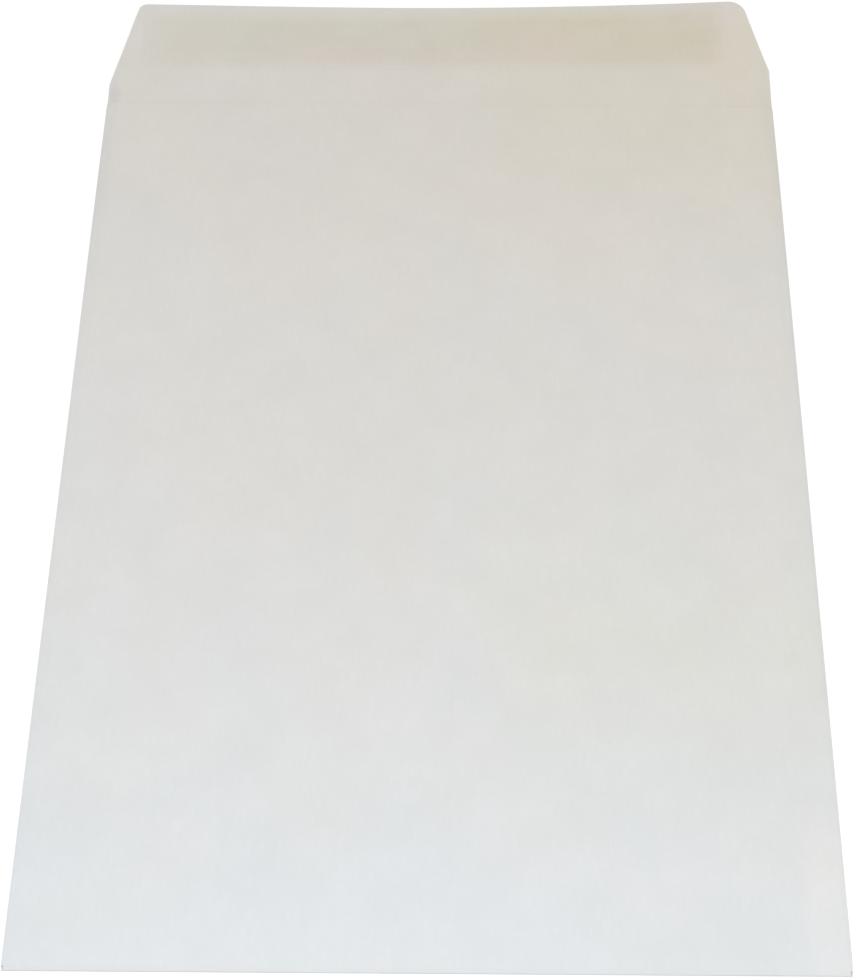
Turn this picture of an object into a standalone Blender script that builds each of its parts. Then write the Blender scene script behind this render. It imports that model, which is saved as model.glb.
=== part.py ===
"""A pocket envelope folded from one sheet of paper, lying open on its front panel.

Metres. +X runs across the pocket, +Y from the bottom fold to the closing flap, and +Z up. The origin is on
the surface that the envelope lies on, below the middle of the whole opened length.

The sheet is drawn as its middle surface, panel by panel from one set of columns, and is then given the
paper's thickness. Distances along the envelope are first measured from the outside of the bottom fold.
"""
import math

import bmesh
import bpy
from mathutils import Vector

MM = 0.001

# The paper and the dried films on it
PAPER = 0.12 * MM
GUM_FILM = 0.03 * MM
GUM_GAP = 0.05 * MM
GLUE_FILM = 0.02 * MM

# The pocket
POCKET_WIDTH = 229 * MM
POCKET_LENGTH = 324 * MM
THROAT_DEPTH = 4 * MM
BACK_INSET = 0.8 * MM
FOLD_GAP = 0.2 * MM
BELLY = 1.2 * MM
THROAT_GAP = 0.05 * MM
THROAT_SAG_RUN = 60 * MM
THROAT_SAG_WIDTH = 35 * MM

# The side flaps, which are folded in and carry the back panel
SIDE_FLAP_WIDTH = 18 * MM
SIDE_FLAP_END = 1.2 * MM
SIDE_FLAP_TOP = 5 * MM
SIDE_FLAP_BEVEL = 7 * MM
GLUE_MARGIN = 3 * MM

# The closing flap, opened out; its two sides are not quite alike
FLAP_HEIGHT = 42 * MM
LEFT_SHOULDER = 5.2 * MM
RIGHT_SHOULDER = 12.8 * MM
LEFT_TAPER = math.radians(12.3)
RIGHT_TAPER = math.radians(16.2)
LEFT_CORNER = 3 * MM
RIGHT_CORNER = 6.5 * MM
FLAP_LIFT = 1.6 * MM
LEFT_CURL = 1.1 * MM
LEFT_CURL_POWER = 1.3
RIGHT_CURL = 6 * MM
RIGHT_CURL_POWER = 2.2
FLAT_PLACE = -25 * MM

# The gum strip on the closing flap
GUM_FROM_CREASE = 13.4 * MM
GUM_FROM_EDGE = 3.4 * MM
GUM_LEFT_MARGIN = 3.6 * MM
GUM_RIGHT_MARGIN = 9.3 * MM

# How finely the sheet is divided
COLUMNS = 20
PANEL_ROWS = 7
BACK_ROWS = 16
FLAP_STEP = 6 * MM
FOLD_STEPS = 6
CORNER_STEPS = 5
LEAST_STEP = 0.3 * MM
WELD = 0.001 * MM

# Heights of the middle surfaces of the stacked layers
FRONT_LEVEL = PAPER / 2
SIDE_LEVEL = FRONT_LEVEL + PAPER + FOLD_GAP
BACK_LEVEL = SIDE_LEVEL + PAPER + GLUE_FILM
THROAT_SAG = BACK_LEVEL - FRONT_LEVEL - PAPER - THROAT_GAP

# Radii of the folds' middle surfaces, and where the flat panels end at the folds
SIDE_FOLD_RADIUS = (SIDE_LEVEL - FRONT_LEVEL) / 2
BOTTOM_FOLD_RADIUS = (BACK_LEVEL - FRONT_LEVEL) / 2
PANEL_SIDE = POCKET_WIDTH / 2 - SIDE_FOLD_RADIUS - PAPER / 2
PANEL_END = BOTTOM_FOLD_RADIUS + PAPER / 2
BACK_SIDE = POCKET_WIDTH / 2 - BACK_INSET
SEAM_INNER = PANEL_SIDE - SIDE_FLAP_WIDTH
THROAT = POCKET_LENGTH - THROAT_DEPTH
MIDDLE_OF_LENGTH = (POCKET_LENGTH + FLAP_HEIGHT) / 2

PAPER_COLOUR = (0.80, 0.80, 0.78, 1.0)
GUM_COLOUR = (0.72, 0.70, 0.61, 1.0)


def spread(start, end, steps):
    """Evenly spaced values from start to end."""
    return [start + (end - start) * step / steps for step in range(steps + 1)]


def in_order(values):
    """The values from low to high, without those that lie too close above another."""
    kept = []
    for value in sorted(values):
        if not kept or value - kept[-1] > LEAST_STEP:
            kept.append(value)
    return kept


def ease(share):
    """A smooth step from 0 to 1."""
    share = min(1.0, max(0.0, share))
    return share * share * (3 - 2 * share)


def add_panel(sheet, columns, rows, place):
    """Add a sheet of four-sided faces; place(column, row) gives the position of each corner."""
    corners = [[sheet.verts.new(place(column, row)) for column in columns] for row in rows]
    for near, far in zip(corners, corners[1:]):
        for index in range(len(columns) - 1):
            sheet.faces.new((near[index], near[index + 1], far[index + 1], far[index]))


def panel_columns():
    """The places across the front panel that every panel across the pocket is divided at."""
    return in_order(spread(-PANEL_SIDE, PANEL_SIDE, COLUMNS) + [-SEAM_INNER, SEAM_INNER])


def side_flap_ends():
    """Where the two side flaps start and end along the side folds."""
    return SIDE_FLAP_END, POCKET_LENGTH - SIDE_FLAP_TOP


def belly(x, y):
    """How far the empty pocket's back panel stands above its glued seams; its lip sags at the throat."""
    across = max(0.0, 1 - (x / SEAM_INNER) ** 2) ** 2
    swell = BELLY * math.sin(math.pi * y / POCKET_LENGTH)
    sag_across = ease((SEAM_INNER - abs(x)) / THROAT_SAG_WIDTH)
    sag_along = ease((y - THROAT + THROAT_SAG_RUN) / THROAT_SAG_RUN)
    return across * swell - THROAT_SAG * sag_across * sag_along


def front_point(x, y):
    """A point of the front panel, which lies flat underneath."""
    return Vector((x, y, FRONT_LEVEL))


def back_x(x, share):
    """Where a front column lies when it has gone a share of the way to the narrower back panel."""
    beyond = max(0.0, abs(x) - SEAM_INNER) / SIDE_FLAP_WIDTH
    return math.copysign(abs(x) - share * beyond * (PANEL_SIDE - BACK_SIDE), x)


def back_point(x, y):
    """A point of the back panel, folded up from the bottom fold and lying on the side flaps."""
    return Vector((back_x(x, 1), y, BACK_LEVEL + belly(x, y)))


def bottom_fold_point(x, angle):
    """A point of the bottom fold; the angle is 0 at the front panel and pi at the back panel."""
    y = PANEL_END - BOTTOM_FOLD_RADIUS * math.sin(angle)
    z = FRONT_LEVEL + BOTTOM_FOLD_RADIUS * (1 - math.cos(angle))
    share = angle / math.pi
    return Vector((back_x(x, share), y, z + share * belly(x, PANEL_END)))


def side_fold_point(side, angle, y):
    """A point of a side fold; side is -1 or 1, and the angle is 0 at the front panel."""
    x = PANEL_SIDE + SIDE_FOLD_RADIUS * math.sin(angle)
    z = FRONT_LEVEL + SIDE_FOLD_RADIUS * (1 - math.cos(angle))
    return Vector((side * x, y, z))


def side_flap_point(side, depth, y):
    """A point of a side flap at its depth in from the fold; its two ends are cut back at a slant."""
    low, high = side_flap_ends()
    middle = (low + high) / 2
    shrink = 1 - SIDE_FLAP_BEVEL / (high - middle) * depth / SIDE_FLAP_WIDTH
    return Vector((side * (PANEL_SIDE - depth), middle + (y - middle) * shrink, SIDE_LEVEL))


def flap_side(side):
    """The shoulder, taper and corner radius of one side of the closing flap; side is -1 or 1."""
    if side < 0:
        return LEFT_SHOULDER, LEFT_TAPER, LEFT_CORNER
    return RIGHT_SHOULDER, RIGHT_TAPER, RIGHT_CORNER


def corner_rise(side, angle):
    """How far up the closing flap a corner's arc has come at an angle from straight across."""
    radius = flap_side(side)[2]
    return FLAP_HEIGHT - radius * (1 - math.sin(angle))


def flap_reach(side, rise):
    """How far a side of the closing flap, drawn on past its shoulder, is from the middle."""
    shoulder, taper, radius = flap_side(side)
    slope = math.tan(taper)
    if rise <= corner_rise(side, taper):
        return PANEL_SIDE - slope * (rise - shoulder)
    centre = FLAP_HEIGHT - radius
    centre_reach = PANEL_SIDE - slope * (centre - shoulder) - radius / math.cos(taper)
    return centre_reach + math.sqrt(max(0.0, radius ** 2 - (rise - centre) ** 2))


def flap_edge(side, rise):
    """The closing flap's side edge; the flap is as wide as the panel up to its shoulders."""
    return side * min(PANEL_SIDE, flap_reach(side, rise))


def corner_curl(x):
    """How far the closing flap's free edge has curled up at a place across."""
    if x < FLAT_PLACE:
        return LEFT_CURL * ((FLAT_PLACE - x) / (PANEL_SIDE + FLAT_PLACE)) ** LEFT_CURL_POWER
    return RIGHT_CURL * ((x - FLAT_PLACE) / (PANEL_SIDE - FLAT_PLACE)) ** RIGHT_CURL_POWER


def flap_surface(x, rise):
    """A point of the closing flap's middle surface, rise being the length of paper from the crease."""
    tilt = FLAP_LIFT / FLAP_HEIGHT
    bend = 2 * corner_curl(x) / FLAP_HEIGHT ** 2
    height = tilt * rise + bend * rise ** 2 / 2
    drawn_in = (tilt ** 2 * rise + tilt * bend * rise ** 2 + bend ** 2 * rise ** 3 / 3) / 2
    return Vector((x, POCKET_LENGTH + rise - drawn_in, FRONT_LEVEL + height))


def flap_point(x, rise):
    """A point of the closing flap for a column of the front panel."""
    left = flap_edge(-1, rise)
    right = flap_edge(1, rise)
    share = (x + PANEL_SIDE) / (2 * PANEL_SIDE)
    return flap_surface(left + (right - left) * share, rise)


def gum_point(x, rise):
    """A point of the gum film's middle surface, just above the closing flap's inner face."""
    step = LEAST_STEP
    point = flap_surface(x, rise)
    across = flap_surface(x + step, rise) - point
    up = flap_surface(x, rise + step) - point
    return point + across.cross(up).normalized() * (PAPER / 2 + GUM_GAP + GUM_FILM / 2)


def gum_rows():
    """Distances from the crease that the gum film is divided at."""
    end = FLAP_HEIGHT - GUM_FROM_EDGE
    steps = max(1, round((end - GUM_FROM_CREASE) / FLAP_STEP))
    return spread(GUM_FROM_CREASE, end, steps)


def gum_columns():
    """Places across that the gum film is divided at; its margins are kept at its outer edge."""
    rise = gum_rows()[-1]
    left = flap_edge(-1, rise) + GUM_LEFT_MARGIN
    right = flap_edge(1, rise) - GUM_RIGHT_MARGIN
    return spread(left, right, COLUMNS)


def flap_rows():
    """Distances from the crease that the closing flap is divided at."""
    rows = [0.0] + gum_rows()
    for side in (-1, 1):
        shoulder, taper = flap_side(side)[:2]
        rows.append(shoulder)
        rows += [corner_rise(side, angle) for angle in spread(taper, math.pi / 2, CORNER_STEPS)]
    inner = [rise for rise in rows if 0 <= rise < FLAP_HEIGHT - LEAST_STEP / 2]
    return in_order(inner) + [FLAP_HEIGHT]


def material(name, colour, roughness):
    """A plain surface of one colour."""
    made = bpy.data.materials.new(name)
    made.use_nodes = True
    shader = made.node_tree.nodes["Principled BSDF"]
    shader.inputs["Base Color"].default_value = colour
    shader.inputs["Roughness"].default_value = roughness
    shader.inputs["Metallic"].default_value = 0.0
    return made


def object_from(sheet, name, collection, surface):
    """Weld a sheet's panels, centre the sheet on the origin and make an object of it."""
    bmesh.ops.remove_doubles(sheet, verts=sheet.verts, dist=WELD)
    bmesh.ops.recalc_face_normals(sheet, faces=sheet.faces)
    bmesh.ops.translate(sheet, verts=sheet.verts, vec=(0, -MIDDLE_OF_LENGTH, 0))
    mesh = bpy.data.meshes.new(name)
    sheet.to_mesh(mesh)
    sheet.free()
    made = bpy.data.objects.new(name, mesh)
    made.data.materials.append(surface)
    collection.objects.link(made)
    return made


def give_thickness(thing, thickness):
    """Turn a middle surface into a sheet of even thickness."""
    modifier = thing.modifiers.new("Thickness", "SOLIDIFY")
    modifier.thickness = thickness
    modifier.offset = 0
    modifier.use_even_offset = True


def make_sheet(collection):
    """The whole folded sheet of paper."""
    sheet = bmesh.new()
    columns = panel_columns()
    low, high = side_flap_ends()
    fold_rows = spread(low, high, PANEL_ROWS)
    fold_angles = spread(0, math.pi, FOLD_STEPS)
    add_panel(sheet, columns, [PANEL_END] + fold_rows + [POCKET_LENGTH], front_point)
    add_panel(sheet, columns, fold_angles, bottom_fold_point)
    add_panel(sheet, columns, spread(PANEL_END, THROAT, BACK_ROWS), back_point)
    add_panel(sheet, columns, flap_rows(), flap_point)
    for side in (-1, 1):
        add_panel(sheet, fold_angles, fold_rows, lambda angle, y: side_fold_point(side, angle, y))
        depths = (0, SIDE_FLAP_WIDTH)
        add_panel(sheet, depths, fold_rows, lambda depth, y: side_flap_point(side, depth, y))
    envelope = object_from(sheet, "envelope", collection, material("Paper", PAPER_COLOUR, 0.75))
    give_thickness(envelope, PAPER)
    return envelope


def bond_seam(envelope, side, collection):
    """Join the back panel to a side flap along the glue line, which bites a little into both."""
    low, high = side_flap_ends()
    bottom = SIDE_LEVEL + PAPER / 4
    top = BACK_LEVEL - PAPER / 4
    length = high - low - 2 * SIDE_FLAP_BEVEL
    width = BACK_SIDE - SEAM_INNER - 2 * GLUE_MARGIN
    centre_x = side * (SEAM_INNER + GLUE_MARGIN + width / 2)
    centre = (centre_x, (low + high) / 2 - MIDDLE_OF_LENGTH, (bottom + top) / 2)
    bpy.ops.mesh.primitive_cube_add(size=1, location=centre, scale=(width, length, top - bottom))
    bpy.ops.object.transform_apply(location=False, rotation=False, scale=True)
    glue = bpy.context.object
    glue.name = "glue_line_left" if side < 0 else "glue_line_right"
    glue.display_type = "WIRE"
    glue.hide_render = True
    for holder in list(glue.users_collection):
        holder.objects.unlink(glue)
    collection.objects.link(glue)
    modifier = envelope.modifiers.new("Bond " + glue.name, "BOOLEAN")
    modifier.operation = "UNION"
    modifier.object = glue


def make_gum_strip(collection):
    """The dried gum film on the closing flap."""
    sheet = bmesh.new()
    add_panel(sheet, gum_columns(), gum_rows(), gum_point)
    strip = object_from(sheet, "gum_strip", collection, material("Dried gum", GUM_COLOUR, 0.35))
    give_thickness(strip, GUM_FILM)


def new_collection(name):
    """A collection in the scene."""
    made = bpy.data.collections.new(name)
    bpy.context.scene.collection.children.link(made)
    return made


def main():
    for thing in list(bpy.data.objects):
        bpy.data.objects.remove(thing)
    parts = new_collection("Pocket envelope")
    cutters = new_collection("Glue lines")
    envelope = make_sheet(parts)
    for side in (-1, 1):
        bond_seam(envelope, side, cutters)
    make_gum_strip(parts)


main()
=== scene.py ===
# A pocket envelope of white paper, lying open on its front panel: its finish, the lights and the camera.
import math

import bmesh
import bpy
from mathutils import Matrix, Vector, noise


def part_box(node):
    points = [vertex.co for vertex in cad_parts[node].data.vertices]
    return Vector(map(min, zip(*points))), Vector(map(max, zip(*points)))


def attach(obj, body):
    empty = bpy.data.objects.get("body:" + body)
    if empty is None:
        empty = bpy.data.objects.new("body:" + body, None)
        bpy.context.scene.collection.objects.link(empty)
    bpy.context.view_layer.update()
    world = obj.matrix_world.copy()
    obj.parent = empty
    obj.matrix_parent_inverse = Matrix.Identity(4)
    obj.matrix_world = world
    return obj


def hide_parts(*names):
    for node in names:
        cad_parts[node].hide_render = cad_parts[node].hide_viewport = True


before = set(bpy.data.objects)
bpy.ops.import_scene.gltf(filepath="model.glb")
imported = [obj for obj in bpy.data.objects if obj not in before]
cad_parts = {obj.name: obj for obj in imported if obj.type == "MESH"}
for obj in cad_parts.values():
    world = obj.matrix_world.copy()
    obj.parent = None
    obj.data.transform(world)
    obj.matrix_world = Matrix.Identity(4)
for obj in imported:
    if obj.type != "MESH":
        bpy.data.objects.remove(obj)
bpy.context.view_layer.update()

MM = 0.001

envelope_low, envelope_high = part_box("envelope")

# The paper and the dried gum on it
PAPER = 0.12 * MM
GUM_FILM = 0.03 * MM
GUM_GAP = 0.012 * MM
GLUE_FILM = 0.02 * MM

# The pocket
POCKET_WIDTH = envelope_high.x - envelope_low.x
BOTTOM_END = envelope_low.y
POCKET_LENGTH = 324 * MM
THROAT_DEPTH = 4 * MM
BACK_INSET = 0.8 * MM
FOLD_GAP = 0.2 * MM
BELLY = 1.2 * MM
THROAT_GAP = 0.05 * MM
THROAT_SAG_RUN = 60 * MM
THROAT_SAG_WIDTH = 35 * MM

# The side flaps, which are folded in and carry the back panel
SIDE_FLAP_WIDTH = 18 * MM
SIDE_FLAP_END = 1.2 * MM
SIDE_FLAP_TOP = 5 * MM
SIDE_FLAP_BEVEL = 7 * MM
GLUE_MARGIN = 3 * MM

# The closing flap, opened out; its two sides are not quite alike
FLAP_HEIGHT = 42 * MM
LEFT_SHOULDER = 5.2 * MM
RIGHT_SHOULDER = 12.8 * MM
LEFT_TAPER = math.radians(12.3)
RIGHT_TAPER = math.radians(16.2)
LEFT_CORNER = 3 * MM
RIGHT_CORNER = 6.5 * MM
FLAP_LIFT = 1.6 * MM
LEFT_CURL = 1.1 * MM
LEFT_CURL_POWER = 1.3
RIGHT_CURL = 6 * MM
RIGHT_CURL_POWER = 2.2
FLAT_PLACE = -25 * MM

# The gum on the closing flap
GUM_FROM_CREASE = 13.4 * MM
GUM_FROM_EDGE = 3.4 * MM
GUM_LEFT_MARGIN = 3.6 * MM
GUM_RIGHT_MARGIN = 9.3 * MM

# Heights of the middle surfaces of the stacked layers, and where the panels meet the folds
FRONT_LEVEL = PAPER / 2
SIDE_LEVEL = FRONT_LEVEL + PAPER + FOLD_GAP
BACK_LEVEL = SIDE_LEVEL + PAPER + GLUE_FILM
THROAT_SAG = BACK_LEVEL - FRONT_LEVEL - PAPER - THROAT_GAP
SIDE_FOLD_RADIUS = (SIDE_LEVEL - FRONT_LEVEL) / 2
BOTTOM_FOLD_RADIUS = (BACK_LEVEL - FRONT_LEVEL) / 2
PANEL_SIDE = POCKET_WIDTH / 2 - SIDE_FOLD_RADIUS - PAPER / 2
PANEL_END = BOTTOM_FOLD_RADIUS + PAPER / 2
BACK_SIDE = POCKET_WIDTH / 2 - BACK_INSET
SEAM_INNER = PANEL_SIDE - SIDE_FLAP_WIDTH
THROAT = POCKET_LENGTH - THROAT_DEPTH
CREASE = BOTTOM_END + POCKET_LENGTH
FREE_EDGE = CREASE + FLAP_HEIGHT
HALF_WIDTH = POCKET_WIDTH / 2

# The slight unevenness of the real sheet
COCKLE = 0.10 * MM
COCKLE_SIZE = 70 * MM
SMALL_COCKLE = 0.035 * MM
SMALL_COCKLE_SIZE = 24 * MM
GLUE_COCKLE = 0.035 * MM
GLUE_COCKLE_SIZE = 9 * MM
SEAM_RIDGE = 0.05 * MM
SEAM_RIDGE_HALF = 1.4 * MM
CREASE_BEAD = 0.05 * MM
CREASE_BEAD_HALF = 0.7 * MM
LIP_STILLNESS = 0.7
THROAT_WAVE = 0.15 * MM
THROAT_WAVE_SIZE = 45 * MM
THROAT_PRESS = 0.16 * MM
THROAT_PRESS_RUN = 40 * MM
GUM_EDGE_WAVE = 0.25 * MM
GUM_EDGE_WAVE_SIZE = 14 * MM
GUM_LOW_WAVE = 0.3
GUM_FEATHER = 4 * MM
GUM_EDGE_SHARE = 0.1
SHOULDER_DENT = 0.35 * MM
SHOULDER_DENT_HALF = 1.6 * MM

# How the waves are drawn out across or along the sheet, and how far from folds and seams they are held down
COCKLE_ACROSS = 0.7
SMALL_COCKLE_ALONG = 0.8
GLUE_COCKLE_ALONG = 0.5
FOLD_CALM = 12 * MM
SEAM_CALM = 18 * MM

# How finely the sheet is divided
PANEL_STEP = 3 * MM
SEAM_STEP = 0.7 * MM
FRONT_ROW_STEP = 6 * MM
FLAP_ROW_STEP = 1.4 * MM
CREASE_STEP = 0.35 * MM
FOLD_STEPS = 8
CORNER_STEPS = 10
GUM_COLUMNS = 110
GUM_ROWS = 18
LEAST_STEP = 0.15 * MM
WELD = 0.001 * MM
SHARP_ANGLE = math.radians(35)

# Colours as light levels from 0 to 1
PAPER_WHITE = (0.829, 0.821, 0.803)
PAPER_SHADE = (0.787, 0.779, 0.759)
SKY_LIGHT = (0.844, 0.810, 0.768)
LAMP_LIGHT = (0.444, 0.707, 1.0)

# Tints that the paper's colour is multiplied by; several stand for painted light and shade
PAPER_COOL = (0.986, 0.998, 1.010)
# Painted cool light on the left side
LIT_LEFT = (1.010, 1.018, 1.036)
# Grey along the side folds: partly wear, partly painted shade
WORN_AND_SHADED_SIDE = (0.930, 0.962, 0.990)
WORN_END = (0.965, 0.960, 0.945)
# The left shoulder's dark mark: part handling smudge, part painted shadow
SMUDGE_AND_SHADOW = (0.945, 0.950, 0.960)
# Painted shade, darker towards the closing flap end
SHADED_TOWARDS_FLAP = (0.970, 0.970, 0.965)
# Painted warm light, yellower towards the top right
WARM_LIGHT_TOP_RIGHT = (1.0, 0.984, 0.920)
# Painted warm light on the right, below the middle
WARM_LIGHT_RIGHT = (1.0, 0.997, 0.966)
# Painted light along the right edge near the bottom end
LIT_RIGHT_EDGE = (1.050, 1.028, 1.016)
# Painted cool light at the flap's right corner
LIT_CORNER = (1.025, 1.0, 1.055)
AGED_EDGE = (0.968, 1.0, 1.015)
GUM_END = (0.928, 0.940, 0.930)
GUM_PALE = (0.945, 0.957, 0.900)
GUM_UPPER = (0.912, 0.908, 0.832)
GUM_LOWER = (0.930, 0.882, 0.842)

# How fine the paper's and the gum's unevenness is, in waves per metre, and how it is stretched and turned
FORMATION = 55
FLECKS = 700
HUE_DRIFT = 22
FIBRES_ALONG = 900
FIBRES_ACROSS = 1100
FIBRE_STRETCH = (1, 0.2, 1)
ALONG_TURN = 0.6
ACROSS_TURN = 2.1
PAPER_GRAIN = 2600
WEAR_AND_SHADE_SPOTS = 220
GUM_STREAKS = 260
STREAK_STRETCH = (0.12, 1, 1)
GUM_PATCHES = 38
GUM_BORDER = 240
GUM_HUES = 45
GUM_GRAIN = 1500

# How much each kind of unevenness counts, and the ranges that it is spread over
FORMATION_SHARE = 0.55
FLECKS_SHARE = 0.25
FIBRES_SHARE = 0.4
TONE_RANGE = (0.30, 0.78)
HUE_RANGE = (0.35, 0.65)
WEAR_AND_SHADE_RANGE = (0.25, 0.75)
WEAR_AND_SHADE_SHARES = (0.3, 0.8)
COVER_RANGE = (0.75, 1.25)
COVER_SHARES = (0.84, 1.0)
GUM_LOW_COVER = 0.8

# The finish of the surfaces
FINISH_RANGE = (0.3, 0.7)
PAPER_ROUGHNESS = (0.70, 0.82)
PAPER_GLOSS = 0.35
PAPER_RELIEF = 0.009 * MM
GUM_ROUGHNESS = (0.36, 0.52)
GUM_GLOSS = 0.4
GUM_RELIEF = 0.008 * MM
STREAK_RELIEF = 0.7

# How far from edge-on a surface is turned when the gum on it has come or gone fully
EDGE_ON = 0.2

# Where the tones of folds and edges, the painted light and shade and the smudge are, and how far they reach
# The band of wear and painted shade along the side folds
SIDE_WEAR_AND_SHADE = 5.5 * MM
SIDE_RIM = 1.5 * MM
SIDE_WEAR_AND_SHADE_BELOW = 0.15
SIDE_WEAR_AND_SHADE_RUN = 200 * MM
BOTTOM_WEAR = 2.5 * MM
AGED_WIDTH = 1 * MM
AGED_FADE = 4 * MM
# How far the painted shade towards the closing flap reaches
SHADE_TOWARDS_FLAP_RUN = 100 * MM
# How the painted cool light on the left fades towards the bottom end and the flap
LIT_LEFT_BELOW = 0.2
LIT_LEFT_LOSS = 0.6
# Where the painted warm light on the right lies
WARM_LIGHT_PLACE = -85 * MM
WARM_LIGHT_HALF = 70 * MM
# Where the painted light along the right edge lies
LIT_EDGE_WIDTH = 8 * MM
LIT_EDGE_FADE = 6 * MM
LIT_EDGE_RUN = 24 * MM
LIT_EDGE_RUN_FADE = 32 * MM
# Where the smudge and painted shadow at the left shoulder lie
SMUDGE_AND_SHADOW_PLACE = Vector((-112.0 * MM, CREASE))
SMUDGE_AND_SHADOW_HALF = Vector((3.0 * MM, 5.0 * MM))
# Where the painted cool light at the flap's right corner lies
LIT_CORNER_PLACE = Vector((92 * MM, FREE_EDGE))
LIT_CORNER_HALF = Vector((34 * MM, 13 * MM))

# How far the gum's borders fade to each side of its edges or below the flap's free edge, and how they wander
GUM_LEFT_FADE = 3 * MM
GUM_RIGHT_FADE = 4.5 * MM
GUM_LOW_FADE = 3.2 * MM
GUM_TOP_FADE = 8 * MM
GUM_WANDER = 2 * MM
GUM_DRIFT = 50 * MM
GUM_SLANT = 0.010
GUM_LOW_INSET = 0.9 * MM

# The gum's paler left end, and how it fades into the rest
GUM_END_WIDTH = 3 * MM
GUM_END_FADE = 5 * MM
GUM_PALE_RUN = 70 * MM
GUM_PALENESS = 0.5

# The camera
CAMERA_AIM = Vector((8.2 * MM, -24.3 * MM, 0))
CAMERA_DISTANCE = 741 * MM
CAMERA_ELEVATION = math.radians(54.962)
CAMERA_ROLL = math.radians(0.404)
CAMERA_LENS = 89.0
CAMERA_SHIFT = -0.0351
CAMERA_SENSOR = 36
CAMERA_CLIP = 0.01

# The lamp and the floor
LAMP_PLACE = Vector((-0.10, -0.40, 0.65))
LAMP_AIM = Vector((0, -0.50, 0))
LAMP_SIZE = 0.5
LAMP_SPREAD = math.radians(80)
LAMP_WATTS = 0.726
FLOOR_SIZE = 6.0
FLOOR_DROP = 0.02 * MM
FLOOR_GREY = (0.5, 0.5, 0.5)
FLOOR_GLOW = (0.66, 0.66, 0.68)


def spread(start, end, steps):
    """Evenly spaced values from start to end."""
    return [start + (end - start) * step / steps for step in range(steps + 1)]


def stepped(start, end, size):
    """Evenly spaced values from start to end, no further apart than a size."""
    return spread(start, end, max(1, math.ceil((end - start) / size)))


def in_order(values):
    """The values from low to high, without those that lie too close above another."""
    kept = []
    for value in sorted(values):
        if not kept or value - kept[-1] > LEAST_STEP:
            kept.append(value)
    return kept


def ease(share):
    """A smooth step from 0 to 1."""
    share = min(1.0, max(0.0, share))
    return share * share * (3 - 2 * share)


def bump_of(distance, half):
    """A smooth hump of height 1 at distance 0."""
    return math.exp(-(distance / half) ** 2)


def waves(x, y, size, seed):
    """Smooth unevenness between about -1 and 1 at a size."""
    return 2 * noise.noise(Vector((x / size, y / size, seed)))


def cockle(x, y):
    """How the free part of the back panel and the closing flap wave."""
    large = COCKLE * waves(x * COCKLE_ACROSS, y, COCKLE_SIZE, 3.7)
    return large + SMALL_COCKLE * waves(x, y * SMALL_COCKLE_ALONG, SMALL_COCKLE_SIZE, 9.1)


def seam_swell(x, y):
    """How the two glued layers of a side seam wave together."""
    start = SEAM_INNER + GLUE_MARGIN
    on_glue = ease((abs(x) - start) / GLUE_MARGIN) * ease((BACK_SIDE - abs(x)) / GLUE_MARGIN)
    return GLUE_COCKLE * on_glue * (1 + waves(x, y * GLUE_COCKLE_ALONG, GLUE_COCKLE_SIZE, 5.3))


def throat_share(y):
    """How near the throat a place along the back panel is, from 0 to 1."""
    return ease((y - THROAT + THROAT_SAG_RUN) / THROAT_SAG_RUN)


def pressed(y):
    """How far the glued seams are pressed down towards the throat."""
    return THROAT_PRESS * ease((y - THROAT + THROAT_PRESS_RUN) / THROAT_PRESS_RUN)


def belly(x, y):
    """How far the empty pocket's back panel stands above its glued seams; its lip sags at the throat."""
    across = max(0.0, 1 - (x / SEAM_INNER) ** 2) ** 2
    swell = BELLY * math.sin(math.pi * y / POCKET_LENGTH)
    sag_across = ease((SEAM_INNER - abs(x)) / THROAT_SAG_WIDTH)
    return across * swell - (THROAT_SAG - THROAT_PRESS) * sag_across * throat_share(y)


def back_height(x, y):
    """The height of the back panel's middle surface."""
    free = ease((SEAM_INNER - abs(x)) / SEAM_CALM) * (1 - LIP_STILLNESS * throat_share(y))
    near_fold = ease(y / FOLD_CALM)
    height = BACK_LEVEL - pressed(y) + belly(x, y) + seam_swell(x, y) * near_fold
    height += SEAM_RIDGE * bump_of(abs(x) - SEAM_INNER, SEAM_RIDGE_HALF) * near_fold
    return height + cockle(x, y) * free * near_fold


def crease_bead(distance):
    """The raised paper along both sides of the closing flap's crease."""
    share = abs(distance) / CREASE_BEAD_HALF
    return CREASE_BEAD * share * math.exp(1 - share)


def add_panel(sheet, columns, rows, place):
    """Add a sheet of four-sided faces; place(column, row) gives the position of each corner."""
    corners = [[sheet.verts.new(place(column, row)) for column in columns] for row in rows]
    for near, far in zip(corners, corners[1:]):
        for index in range(len(columns) - 1):
            sheet.faces.new((near[index], near[index + 1], far[index + 1], far[index]))


def seam_columns():
    """Closely set places across one side seam's edge, from the middle of the pocket outwards."""
    return stepped(SEAM_INNER - 3 * SEAM_RIDGE_HALF, SEAM_INNER + 3 * SEAM_RIDGE_HALF, SEAM_STEP)


def panel_columns():
    """The places across the front panel that every panel across the pocket is divided at."""
    inner = SEAM_INNER - 3 * SEAM_RIDGE_HALF
    outer = SEAM_INNER + 3 * SEAM_RIDGE_HALF
    right = seam_columns() + stepped(outer, PANEL_SIDE, PANEL_STEP / 2) + [SEAM_INNER]
    left = [-x for x in right]
    return in_order(left + stepped(-inner, inner, PANEL_STEP) + right)


def side_flap_ends():
    """Where the two side flaps start and end along the side folds."""
    return SIDE_FLAP_END, POCKET_LENGTH - SIDE_FLAP_TOP


def front_point(x, y):
    """A point of the front panel, which lies flat underneath."""
    return Vector((x, y, FRONT_LEVEL + crease_bead(POCKET_LENGTH - y)))


def back_x(x, share):
    """Where a front column lies when it has gone a share of the way to the narrower back panel."""
    beyond = max(0.0, abs(x) - SEAM_INNER) / SIDE_FLAP_WIDTH
    return math.copysign(abs(x) - share * beyond * (PANEL_SIDE - BACK_SIDE), x)


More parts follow.
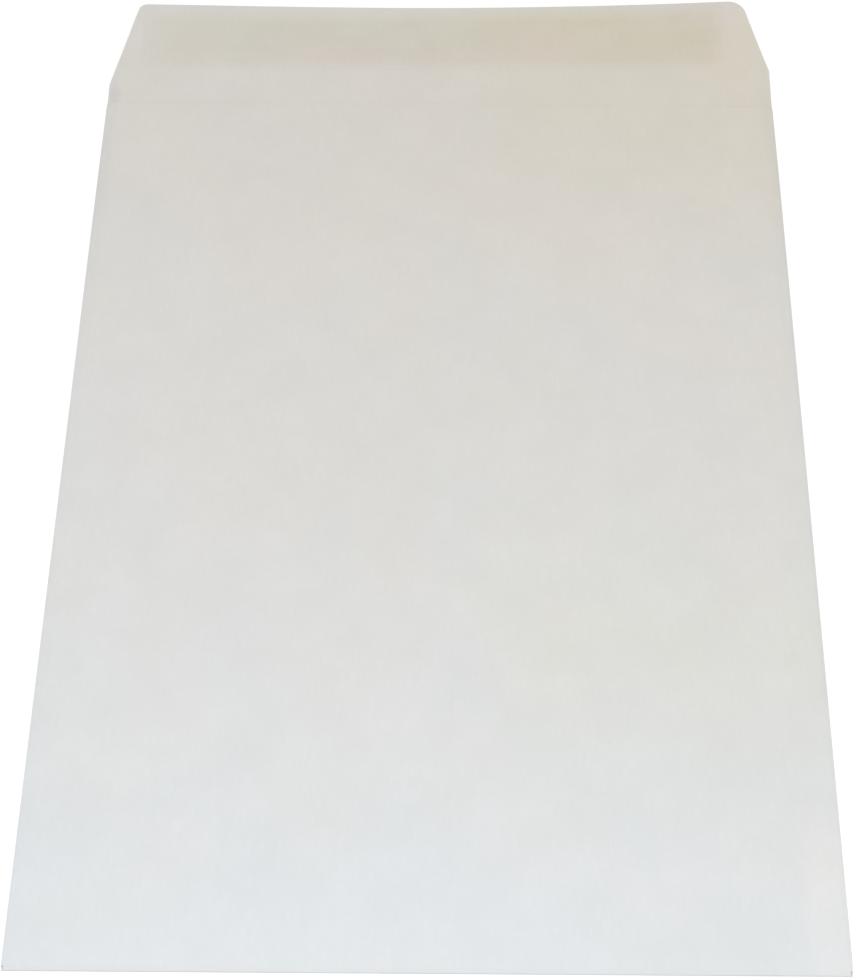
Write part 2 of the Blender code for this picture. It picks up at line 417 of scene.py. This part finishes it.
def back_point(x, y):
    """A point of the back panel, folded up from the bottom fold and lying on the side flaps."""
    across = back_x(x, 1)
    wave = THROAT_WAVE * waves(across, 0, THROAT_WAVE_SIZE, 1.9) * throat_share(y)
    return Vector((across, y + wave, back_height(across, y)))


def bottom_fold_point(x, angle):
    """A point of the bottom fold; the angle is 0 at the front panel and pi at the back panel."""
    y = PANEL_END - BOTTOM_FOLD_RADIUS * math.sin(angle)
    z = FRONT_LEVEL + BOTTOM_FOLD_RADIUS * (1 - math.cos(angle))
    share = angle / math.pi
    top = back_height(back_x(x, 1), PANEL_END) - BACK_LEVEL
    bead = crease_bead(POCKET_LENGTH - PANEL_END)
    return Vector((back_x(x, share), y, z + share * top + (1 - share) * bead))


def side_fold_point(side, angle, y):
    """A point of a side fold; side is -1 or 1, and the angle is 0 at the front panel."""
    radius = SIDE_FOLD_RADIUS - pressed(y) / 2
    x = PANEL_SIDE + radius * math.sin(angle)
    z = FRONT_LEVEL + radius * (1 - math.cos(angle))
    bead = crease_bead(POCKET_LENGTH - y) * (1 - angle / math.pi)
    return Vector((side * x, y, z + bead))


def side_flap_point(side, across, y):
    """A point of a side flap at its distance from the middle; its two ends are cut back at a slant."""
    low, high = side_flap_ends()
    middle = (low + high) / 2
    depth = PANEL_SIDE - across
    shrink = 1 - SIDE_FLAP_BEVEL / (high - middle) * depth / SIDE_FLAP_WIDTH
    place = middle + (y - middle) * shrink
    near_fold = ease(place / FOLD_CALM)
    height = SIDE_LEVEL - pressed(place) + seam_swell(across, place) * near_fold
    return Vector((side * across, place, height))


def flap_side(side):
    """The shoulder, taper and corner radius of one side of the closing flap; side is -1 or 1."""
    if side < 0:
        return LEFT_SHOULDER, LEFT_TAPER, LEFT_CORNER
    return RIGHT_SHOULDER, RIGHT_TAPER, RIGHT_CORNER


def corner_rise(side, angle):
    """How far up the closing flap a corner's arc has come at an angle from straight across."""
    radius = flap_side(side)[2]
    return FLAP_HEIGHT - radius * (1 - math.sin(angle))


def flap_reach(side, rise):
    """How far a side of the closing flap, drawn on past its shoulder, is from the middle."""
    shoulder, taper, radius = flap_side(side)
    slope = math.tan(taper)
    if rise <= corner_rise(side, taper):
        return PANEL_SIDE - slope * (rise - shoulder)
    centre = FLAP_HEIGHT - radius
    centre_reach = PANEL_SIDE - slope * (centre - shoulder) - radius / math.cos(taper)
    return centre_reach + math.sqrt(max(0.0, radius ** 2 - (rise - centre) ** 2))


def flap_edge(side, rise):
    """The closing flap's side edge; the flap is as wide as the panel up to its shoulders."""
    return side * min(PANEL_SIDE, flap_reach(side, rise))


def corner_curl(x):
    """How far the closing flap's free edge has curled up at a place across."""
    if x < FLAT_PLACE:
        return LEFT_CURL * ((FLAT_PLACE - x) / (PANEL_SIDE + FLAT_PLACE)) ** LEFT_CURL_POWER
    return RIGHT_CURL * ((x - FLAT_PLACE) / (PANEL_SIDE - FLAT_PLACE)) ** RIGHT_CURL_POWER


def flap_detail(x, rise):
    """The closing flap's own unevenness: its crease's bead, a slight wave and a knocked left shoulder."""
    free = ease(rise / FOLD_CALM)
    from_shoulder = math.hypot(x + PANEL_SIDE, rise - LEFT_SHOULDER / 2)
    dent = SHOULDER_DENT * bump_of(from_shoulder, SHOULDER_DENT_HALF)
    return crease_bead(rise) + cockle(x, POCKET_LENGTH + rise) * free + dent


def flap_surface(x, rise):
    """A point of the closing flap's middle surface, rise being the length of paper from the crease."""
    tilt = FLAP_LIFT / FLAP_HEIGHT
    bend = 2 * corner_curl(x) / FLAP_HEIGHT ** 2
    height = tilt * rise + bend * rise ** 2 / 2
    drawn_in = (tilt ** 2 * rise + tilt * bend * rise ** 2 + bend ** 2 * rise ** 3 / 3) / 2
    return Vector((x, POCKET_LENGTH + rise - drawn_in, FRONT_LEVEL + height + flap_detail(x, rise)))


def flap_point(x, rise):
    """A point of the closing flap for a column of the front panel."""
    left = flap_edge(-1, rise)
    right = flap_edge(1, rise)
    share = (x + PANEL_SIDE) / (2 * PANEL_SIDE)
    return flap_surface(left + (right - left) * share, rise)


def flap_rows():
    """Distances from the crease that the closing flap is divided at."""
    rows = stepped(0, 4 * CREASE_BEAD_HALF, CREASE_STEP)
    rows += stepped(4 * CREASE_BEAD_HALF, FLAP_HEIGHT, FLAP_ROW_STEP)
    for side in (-1, 1):
        shoulder, taper = flap_side(side)[:2]
        rows.append(shoulder)
        rows += [corner_rise(side, angle) for angle in spread(taper, math.pi / 2, CORNER_STEPS)]
    inner = [rise for rise in rows if 0 <= rise < FLAP_HEIGHT - LEAST_STEP / 2]
    return in_order(inner) + [FLAP_HEIGHT]


def front_rows(fold_rows):
    """Distances along the front panel that it is divided at."""
    crease_rows = stepped(POCKET_LENGTH - 4 * CREASE_BEAD_HALF, POCKET_LENGTH, CREASE_STEP)
    return in_order([PANEL_END] + fold_rows + crease_rows)


def gum_point(x, rise):
    """A point of the gum film's underside, on the closing flap's inner face."""
    step = LEAST_STEP
    point = flap_surface(x, rise)
    across = flap_surface(x + step, rise) - point
    up = flap_surface(x, rise + step) - point
    return point + across.cross(up).normalized() * (PAPER / 2 + GUM_GAP)


def gum_edge_wave(across, seed):
    """How far an edge of the gum wanders from its straight line."""
    return GUM_EDGE_WAVE * waves(across, 0, GUM_EDGE_WAVE_SIZE, seed)


def gum_edges():
    """The gum's left and right ends, and how far from the crease its lower and upper edges are."""
    high = FLAP_HEIGHT - GUM_FROM_EDGE
    left = flap_edge(-1, high) + GUM_LEFT_MARGIN
    right = flap_edge(1, high) - GUM_RIGHT_MARGIN
    return left, right, GUM_FROM_CREASE, high


def gum_place(share_across, share_up):
    """A point of the gum film at shares from 0 to 1 of its width and height."""
    left, right, low, high = gum_edges()
    rise = low + (high - low) * share_up
    left += gum_edge_wave(rise, 2.2) * (1 - share_across)
    right += gum_edge_wave(rise, 6.4) * share_across
    x = left + (right - left) * share_across
    wave_low = gum_edge_wave(x, 4.1) * GUM_LOW_WAVE * (1 - share_up)
    return gum_point(x, rise + wave_low + gum_edge_wave(x, 7.9) * share_up)


def mesh_object(sheet, name, surface):
    """Weld a sheet's panels, put the sheet in its place and make an object of it."""
    bmesh.ops.remove_doubles(sheet, verts=sheet.verts, dist=WELD)
    bmesh.ops.recalc_face_normals(sheet, faces=sheet.faces)
    bmesh.ops.translate(sheet, verts=sheet.verts, vec=(0, BOTTOM_END, 0))
    mesh = bpy.data.meshes.new(name)
    sheet.to_mesh(mesh)
    sheet.free()
    made = bpy.data.objects.new(name, mesh)
    made.data.materials.append(surface)
    bpy.context.scene.collection.objects.link(made)
    return made


def give_thickness(thing, thickness, group=None):
    """Turn a surface into a closed sheet; with a group of weights it is an underside with thin edges."""
    modifier = thing.modifiers.new("Thickness", "SOLIDIFY")
    modifier.thickness = thickness
    modifier.offset = 0
    modifier.use_even_offset = True
    if group:
        modifier.offset = 1
        modifier.vertex_group = group.name
        modifier.thickness_vertex_group = GUM_EDGE_SHARE
    bpy.context.view_layer.update()
    evaluated = thing.evaluated_get(bpy.context.evaluated_depsgraph_get())
    solid = bpy.data.meshes.new_from_object(evaluated)
    thing.modifiers.clear()
    thing.data = solid
    solid.shade_smooth()
    solid.set_sharp_from_angle(angle=SHARP_ANGLE)


def make_sheet(surface):
    """The whole folded sheet of paper."""
    sheet = bmesh.new()
    columns = panel_columns()
    low, high = side_flap_ends()
    fold_rows = stepped(low, high, FRONT_ROW_STEP)
    fold_angles = spread(0, math.pi, FOLD_STEPS)
    flap_columns = [x for x in columns if x >= SEAM_INNER - LEAST_STEP]
    add_panel(sheet, columns, front_rows(fold_rows), front_point)
    add_panel(sheet, columns, fold_angles, bottom_fold_point)
    add_panel(sheet, columns, stepped(PANEL_END, THROAT, PANEL_STEP), back_point)
    add_panel(sheet, columns, flap_rows(), flap_point)
    for side in (-1, 1):
        add_panel(sheet, fold_angles, fold_rows, lambda angle, y: side_fold_point(side, angle, y))
        add_panel(sheet, flap_columns, fold_rows, lambda across, y: side_flap_point(side, across, y))
    made = mesh_object(sheet, "envelope_paper", surface)
    give_thickness(made, PAPER)
    return made


def make_gum(surface):
    """The dried gum film on the closing flap, which thins out towards its edges."""
    sheet = bmesh.new()
    add_panel(sheet, spread(0, 1, GUM_COLUMNS), spread(0, 1, GUM_ROWS), gum_place)
    made = mesh_object(sheet, "gum_film", surface)
    group = made.vertex_groups.new(name="thick")
    left, right, low, high = gum_edges()
    for vertex in made.data.vertices:
        rise = vertex.co.y - CREASE
        from_edge = min(vertex.co.x - left, right - vertex.co.x, rise - low, high - rise)
        group.add([vertex.index], ease(from_edge / GUM_FEATHER), "REPLACE")
    give_thickness(made, GUM_FILM, group)
    return made


class Nodes:
    """A material's node tree, with short ways to add and join its nodes."""

    def __init__(self, name):
        self.material = bpy.data.materials.new(name)
        self.material.use_nodes = True
        self.tree = self.material.node_tree
        self.shader = self.tree.nodes["Principled BSDF"]
        self.coordinates = self.add("ShaderNodeTexCoord").outputs["Object"]

    def add(self, kind, **settings):
        """A new node with its settings."""
        node = self.tree.nodes.new(kind)
        for name, value in settings.items():
            setattr(node, name, value)
        return node

    def link(self, output, socket):
        """Join an output to an input."""
        self.tree.links.new(output, socket)

    def feed(self, socket, value):
        """Set an input to a constant, or join it to an output."""
        if isinstance(value, bpy.types.NodeSocket):
            self.link(value, socket)
        else:
            socket.default_value = value

    def stretched(self, scale, turn=0.0):
        """Object coordinates scaled by a vector, after a turn in the plane of the paper."""
        mapping = self.add("ShaderNodeMapping")
        mapping.inputs["Scale"].default_value = scale
        mapping.inputs["Rotation"].default_value = (0, 0, turn)
        self.link(self.coordinates, mapping.inputs["Vector"])
        return mapping.outputs["Vector"]

    def noise(self, scale, detail=2.0, roughness=0.5, turn=0.0, stretch=(1, 1, 1)):
        """A noise whose scale is in waves per metre."""
        texture = self.add("ShaderNodeTexNoise")
        vector = self.stretched(tuple(scale * share for share in stretch), turn)
        self.link(vector, texture.inputs["Vector"])
        texture.inputs["Scale"].default_value = 1.0
        texture.inputs["Detail"].default_value = detail
        texture.inputs["Roughness"].default_value = roughness
        return texture.outputs["Fac"]

    def math(self, operation, first, second=0.0):
        """A sum, product or the like of two numbers."""
        node = self.add("ShaderNodeMath", operation=operation)
        self.feed(node.inputs[0], first)
        self.feed(node.inputs[1], second)
        return node.outputs[0]

    def between(self, value, low, high, bottom=0.0, top=1.0):
        """Map a value from one range to another, smoothly and clamped."""
        node = self.add("ShaderNodeMapRange", interpolation_type="SMOOTHSTEP")
        self.feed(node.inputs["Value"], value)
        node.inputs["From Min"].default_value = low
        node.inputs["From Max"].default_value = high
        node.inputs["To Min"].default_value = bottom
        node.inputs["To Max"].default_value = top
        return node.outputs["Result"]

    def blend(self, share, first, second):
        """A colour between two colours."""
        node = self.add("ShaderNodeMix", data_type="RGBA")
        self.feed(node.inputs["Factor"], share)
        self.feed(node.inputs[6], first)
        self.feed(node.inputs[7], second)
        return node.outputs[2]

    def tinted(self, share, colour, tint):
        """A colour multiplied by a tint, by a share from 0 to 1."""
        node = self.add("ShaderNodeMix", data_type="RGBA", blend_type="MULTIPLY")
        self.feed(node.inputs["Factor"], share)
        self.feed(node.inputs[6], colour)
        self.feed(node.inputs[7], tint if isinstance(tint, bpy.types.NodeSocket) else (*tint, 1.0))
        return node.outputs[2]

    def axis(self, name):
        """One of the object coordinates, in metres."""
        split = self.add("ShaderNodeSeparateXYZ")
        self.link(self.coordinates, split.inputs[0])
        return split.outputs[name]

    def facing_up(self):
        """1 where the surface faces up, and 0 where it faces down."""
        split = self.add("ShaderNodeSeparateXYZ")
        self.link(self.add("ShaderNodeTexCoord").outputs["Normal"], split.inputs[0])
        return self.between(split.outputs["Z"], -EDGE_ON, EDGE_ON)

    def bump(self, height, distance):
        """Give the shader a surface relief of a depth in metres."""
        node = self.add("ShaderNodeBump")
        node.inputs["Strength"].default_value = 1.0
        node.inputs["Distance"].default_value = distance
        self.link(height, node.inputs["Height"])
        self.link(node.outputs["Normal"], self.shader.inputs["Normal"])


def solid_colour(colour):
    """A colour with its fourth value."""
    return (*colour, 1.0)


def near_line(nodes, value, line, half):
    """1 on a line where a coordinate has a value, fading to 0 at a distance of half."""
    away = nodes.math("ABSOLUTE", nodes.math("SUBTRACT", value, line))
    return nodes.between(away, 0, half, 1, 0)


def fibre_mesh(nodes):
    """Crossing fibres, as numbers from 0 to about 1."""
    along = nodes.noise(FIBRES_ALONG, turn=ALONG_TURN, stretch=FIBRE_STRETCH)
    across = nodes.noise(FIBRES_ACROSS, turn=ACROSS_TURN, stretch=FIBRE_STRETCH)
    return nodes.math("MULTIPLY", along, across)


def paper_flecks(nodes):
    """The paper's fine flecks, as numbers from 0 to 1."""
    return nodes.noise(FLECKS, detail=3, roughness=0.65)


def gum_streaks(nodes):
    """The streaks along the gum that its roller left, as numbers from 0 to 1."""
    return nodes.noise(GUM_STREAKS, detail=3, roughness=0.6, stretch=STREAK_STRETCH)


def gum_patches(nodes):
    """Broad patches of thicker and thinner gum, as numbers from 0 to 1."""
    return nodes.noise(GUM_PATCHES, detail=3, roughness=0.55)


def near_place(nodes, place, half):
    """1 at a place on the paper, fading to 0 at half a width and half a length from it."""
    across = nodes.math("DIVIDE", nodes.math("SUBTRACT", nodes.axis("X"), place.x), half.x)
    along = nodes.math("DIVIDE", nodes.math("SUBTRACT", nodes.axis("Y"), place.y), half.y)
    away = nodes.math("ADD", nodes.math("MULTIPLY", across, across), nodes.math("MULTIPLY", along, along))
    return nodes.between(away, 0, 1, 1, 0)


def paper_tone(nodes):
    """White paper with its cloudy formation, its flecks and its fibres."""
    mottle = nodes.math("MULTIPLY", nodes.noise(FORMATION, detail=3, roughness=0.6), FORMATION_SHARE)
    mottle = nodes.math("ADD", mottle, nodes.math("MULTIPLY", paper_flecks(nodes), FLECKS_SHARE))
    mottle = nodes.math("ADD", mottle, nodes.math("MULTIPLY", fibre_mesh(nodes), FIBRES_SHARE))
    tone = nodes.between(mottle, *TONE_RANGE)
    body = nodes.blend(tone, solid_colour(PAPER_SHADE), solid_colour(PAPER_WHITE))
    return nodes.tinted(nodes.between(nodes.noise(HUE_DRIFT), *HUE_RANGE), body, PAPER_COOL)


def with_wear_and_shade(nodes, colour):
    """The colour: grey in spots along the side folds from wear and painted shade, worn in spots at the
    bottom fold, and darkened at the left shoulder by a smudge and a painted shadow.
    """
    y = nodes.axis("Y")
    spots = nodes.between(nodes.noise(WEAR_AND_SHADE_SPOTS, detail=3), *WEAR_AND_SHADE_RANGE, *WEAR_AND_SHADE_SHARES)
    from_middle = nodes.math("ABSOLUTE", nodes.axis("X"))
    side = nodes.between(from_middle, HALF_WIDTH - SIDE_WEAR_AND_SHADE, HALF_WIDTH - SIDE_RIM)
    side = nodes.math("MULTIPLY", side, nodes.between(y, CREASE - SIDE_WEAR_AND_SHADE_RUN, CREASE, SIDE_WEAR_AND_SHADE_BELOW, 1))
    side = nodes.math("MULTIPLY", side, nodes.between(y, CREASE, CREASE + FLAP_HEIGHT / 2, 1, 0))
    # Painted shade along the side folds, mixed with wear in spots
    colour = nodes.tinted(nodes.math("MULTIPLY", side, spots), colour, WORN_AND_SHADED_SIDE)
    bottom = near_line(nodes, y, BOTTOM_END, BOTTOM_WEAR)
    colour = nodes.tinted(nodes.math("MULTIPLY", bottom, spots), colour, WORN_END)
    # A handling smudge and a painted shadow at the left shoulder
    return nodes.tinted(near_place(nodes, SMUDGE_AND_SHADOW_PLACE, SMUDGE_AND_SHADOW_HALF), colour, SMUDGE_AND_SHADOW)


def with_painted_light(nodes, colour):
    """The colour with painted light and shade: darker and warmer towards the closing flap, lighter and bluer
    at the left, lighter and bluer at the flap's right corner, warmer on the right below the middle, and
    lighter along the right edge near the bottom end.
    """
    x = nodes.axis("X")
    y = nodes.axis("Y")
    up = nodes.between(y, CREASE - SHADE_TOWARDS_FLAP_RUN, CREASE)
    # Painted shade: the paper darkens towards the closing flap
    colour = nodes.tinted(up, colour, SHADED_TOWARDS_FLAP)
    # Painted cool light, lighter and bluer on the left
    left = nodes.between(x, -HALF_WIDTH, -HALF_WIDTH / 4, 1, 0)
    left = nodes.math("MULTIPLY", left, nodes.between(y, BOTTOM_END, 0, LIT_LEFT_BELOW, 1))
    left = nodes.math("MULTIPLY", left, nodes.math("SUBTRACT", 1, nodes.math("MULTIPLY", up, LIT_LEFT_LOSS)))
    colour = nodes.tinted(left, colour, LIT_LEFT)
    # Painted cool light, lighter and bluer at the flap's right corner
    colour = nodes.tinted(near_place(nodes, LIT_CORNER_PLACE, LIT_CORNER_HALF), colour, LIT_CORNER)
    # Painted warm light on the right, below the middle
    right = nodes.between(x, 0, HALF_WIDTH / 3)
    warm = nodes.math("MULTIPLY", right, near_line(nodes, y, WARM_LIGHT_PLACE, WARM_LIGHT_HALF))
    colour = nodes.tinted(warm, colour, WARM_LIGHT_RIGHT)
    # Painted light, lighter along the right edge near the bottom end
    start = BOTTOM_END + LIT_EDGE_RUN
    pale = nodes.between(x, HALF_WIDTH - LIT_EDGE_WIDTH - LIT_EDGE_FADE, HALF_WIDTH - LIT_EDGE_WIDTH)
    pale = nodes.math("MULTIPLY", pale, nodes.between(y, start, start + LIT_EDGE_RUN_FADE, 1, 0))
    colour = nodes.tinted(pale, colour, LIT_RIGHT_EDGE)
    # Painted warm light, yellower towards the closing flap on the right
    across = nodes.between(x, -HALF_WIDTH / 4, HALF_WIDTH / 2)
    return nodes.tinted(nodes.math("MULTIPLY", up, across), colour, WARM_LIGHT_TOP_RIGHT)


def gum_cover(nodes, x, y):
    """How fully the gum covers the paper at a place, thinning out softly on all four sides."""
    left, right, low, high = gum_edges()
    thickness = nodes.math("ADD", gum_streaks(nodes), gum_patches(nodes))
    cover = nodes.between(thickness, *COVER_RANGE, *COVER_SHARES)
    low += CREASE + GUM_LOW_INSET
    for shade in (
        nodes.between(x, left - GUM_LEFT_FADE, left + GUM_LEFT_FADE),
        nodes.between(x, right - GUM_RIGHT_FADE, right + GUM_RIGHT_FADE, 1, 0),
        nodes.between(y, low - GUM_LOW_FADE, low + GUM_LOW_FADE),
        nodes.between(y, FREE_EDGE - GUM_TOP_FADE, FREE_EDGE, 1, 0),
        nodes.between(y, low, (low + CREASE + high) / 2, GUM_LOW_COVER, 1.0),
        nodes.facing_up(),
    ):
        cover = nodes.math("MULTIPLY", cover, shade)
    return cover


def gum_tint(nodes, x, y):
    """The gum's own tint, pinkish in its lower half, olive in its upper half and paler at its left end."""
    drift = nodes.math("SUBTRACT", nodes.noise(GUM_HUES), 0.5)
    height = nodes.math("ADD", y, nodes.math("MULTIPLY", drift, GUM_DRIFT))
    hue = nodes.between(height, CREASE + GUM_FROM_CREASE, FREE_EDGE - GUM_FROM_EDGE)
    tint = nodes.blend(hue, solid_colour(GUM_LOWER), solid_colour(GUM_UPPER))
    start = gum_edges()[0] + GUM_END_WIDTH
    pale = nodes.between(x, start, start + GUM_PALE_RUN, GUM_PALENESS, 0)
    tint = nodes.blend(pale, tint, solid_colour(GUM_PALE))
    end = nodes.between(x, start, start + GUM_END_FADE, 1, 0)
    return nodes.blend(end, tint, solid_colour(GUM_END))


def with_gum(nodes, colour):
    """The colour with the gum on it, whose borders wander a little."""
    border = nodes.math("SUBTRACT", nodes.noise(GUM_BORDER, detail=3), 0.5)
    wander = nodes.math("MULTIPLY", border, GUM_WANDER)
    x = nodes.math("ADD", nodes.axis("X"), wander)
    y = nodes.math("ADD", nodes.axis("Y"), wander)
    y = nodes.math("SUBTRACT", y, nodes.math("MULTIPLY", nodes.axis("X"), GUM_SLANT))
    return nodes.tinted(gum_cover(nodes, x, y), colour, gum_tint(nodes, x, y))


def sheet_colour(nodes):
    """The colour of the sheet and of the gum on it, so that the gum's soft borders run on over the paper."""
    colour = with_painted_light(nodes, with_wear_and_shade(nodes, paper_tone(nodes)))
    start = FREE_EDGE - AGED_WIDTH - AGED_FADE
    aged = nodes.between(nodes.axis("Y"), start, start + AGED_FADE)
    return nodes.tinted(aged, with_gum(nodes, colour), AGED_EDGE)


def paper_material():
    """Uncoated white envelope paper."""
    nodes = Nodes("white_paper")
    nodes.link(sheet_colour(nodes), nodes.shader.inputs["Base Color"])
    roughness = nodes.between(paper_flecks(nodes), *FINISH_RANGE, *PAPER_ROUGHNESS)
    nodes.link(roughness, nodes.shader.inputs["Roughness"])
    nodes.shader.inputs["Specular IOR Level"].default_value = PAPER_GLOSS
    grain = nodes.noise(PAPER_GRAIN, detail=4, roughness=0.6)
    nodes.bump(nodes.math("ADD", grain, fibre_mesh(nodes)), PAPER_RELIEF)
    return nodes.material


def gum_material():
    """Dried remoistenable gum: a thin, slightly glossy and yellowish film with faint roller streaks."""
    nodes = Nodes("dried_gum")
    nodes.link(sheet_colour(nodes), nodes.shader.inputs["Base Color"])
    roughness = nodes.between(gum_patches(nodes), *FINISH_RANGE, *GUM_ROUGHNESS)
    nodes.link(roughness, nodes.shader.inputs["Roughness"])
    nodes.shader.inputs["Specular IOR Level"].default_value = GUM_GLOSS
    relief = nodes.math("MULTIPLY", gum_streaks(nodes), STREAK_RELIEF)
    nodes.bump(nodes.math("ADD", relief, nodes.noise(GUM_GRAIN, detail=3)), GUM_RELIEF)
    return nodes.material


def camera_share(tree):
    """1 for rays that see the background itself, in the camera, in gloss or through glass."""
    path = tree.nodes.new("ShaderNodeLightPath")
    total = path.outputs["Is Camera Ray"]
    for name in ("Is Glossy Ray", "Is Transmission Ray"):
        both = tree.nodes.new("ShaderNodeMath")
        both.operation = "ADD"
        both.use_clamp = True
        tree.links.new(total, both.inputs[0])
        tree.links.new(path.outputs[name], both.inputs[1])
        total = both.outputs[0]
    return total


def light_world():
    """An even sky that lights the object, and is white where it is seen itself."""
    world = bpy.data.worlds.new("studio")
    bpy.context.scene.world = world
    world.use_nodes = True
    tree = world.node_tree
    light = tree.nodes["Background"]
    light.inputs["Color"].default_value = solid_colour(SKY_LIGHT)
    seen = tree.nodes.new("ShaderNodeBackground")
    seen.inputs["Color"].default_value = solid_colour((1, 1, 1))
    mixed = tree.nodes.new("ShaderNodeMixShader")
    tree.links.new(camera_share(tree), mixed.inputs["Fac"])
    tree.links.new(light.outputs[0], mixed.inputs[1])
    tree.links.new(seen.outputs[0], mixed.inputs[2])
    tree.links.new(mixed.outputs[0], tree.nodes["World Output"].inputs["Surface"])


def add_lamp():
    """A soft cool lamp over the bottom end of the envelope."""
    light = bpy.data.lights.new("near_lamp", "AREA")
    light.energy = LAMP_WATTS
    light.color = LAMP_LIGHT
    light.size = LAMP_SIZE
    light.spread = LAMP_SPREAD
    lamp = bpy.data.objects.new("near_lamp", light)
    lamp.location = LAMP_PLACE
    lamp.rotation_euler = (LAMP_AIM - LAMP_PLACE).to_track_quat("-Z", "Y").to_euler()
    lamp.visible_camera = False
    bpy.context.scene.collection.objects.link(lamp)


def add_floor():
    """A plain white floor, which keeps the object's shadow."""
    bpy.ops.mesh.primitive_plane_add(size=FLOOR_SIZE, location=(0, 0, -FLOOR_DROP))
    floor = bpy.context.object
    floor.name = "floor"
    material = bpy.data.materials.new("floor_white")
    material.use_nodes = True
    tree = material.node_tree
    matte = tree.nodes["Principled BSDF"]
    matte.inputs["Base Color"].default_value = solid_colour(FLOOR_GREY)
    matte.inputs["Roughness"].default_value = 1.0
    matte.inputs["Specular IOR Level"].default_value = 0.0
    glow = tree.nodes.new("ShaderNodeEmission")
    glow.inputs["Color"].default_value = solid_colour(FLOOR_GLOW)
    seen = tree.nodes.new("ShaderNodeAddShader")
    mixed = tree.nodes.new("ShaderNodeMixShader")
    tree.links.new(matte.outputs[0], seen.inputs[0])
    tree.links.new(glow.outputs[0], seen.inputs[1])
    tree.links.new(camera_share(tree), mixed.inputs["Fac"])
    tree.links.new(matte.outputs[0], mixed.inputs[1])
    tree.links.new(seen.outputs[0], mixed.inputs[2])
    tree.links.new(mixed.outputs[0], tree.nodes["Material Output"].inputs["Surface"])
    floor.data.materials.append(material)


def add_camera():
    """The camera at the photograph's place."""
    data = bpy.data.cameras.new("camera")
    data.lens = CAMERA_LENS
    data.sensor_width = CAMERA_SENSOR
    data.sensor_fit = "AUTO"
    data.shift_x = CAMERA_SHIFT
    data.clip_start = CAMERA_CLIP
    camera = bpy.data.objects.new("camera", data)
    tilt = Matrix.Rotation(math.pi / 2 - CAMERA_ELEVATION, 4, "X")
    roll = Matrix.Rotation(CAMERA_ROLL, 4, "Z")
    back = Vector((0, -math.cos(CAMERA_ELEVATION), math.sin(CAMERA_ELEVATION)))
    camera.matrix_world = Matrix.Translation(CAMERA_AIM + back * CAMERA_DISTANCE) @ tilt @ roll
    bpy.context.scene.collection.objects.link(camera)
    bpy.context.scene.camera = camera


def main():
    """Set up the camera, the light and the floor, then make both pieces and join them to the frame."""
    bpy.context.scene.view_settings.view_transform = "Standard"
    add_camera()
    light_world()
    add_lamp()
    add_floor()
    paper = make_sheet(paper_material())
    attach(paper, "root")
    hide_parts("envelope")
    gum = make_gum(gum_material())
    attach(gum, "root")
    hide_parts("gum_strip")


main()
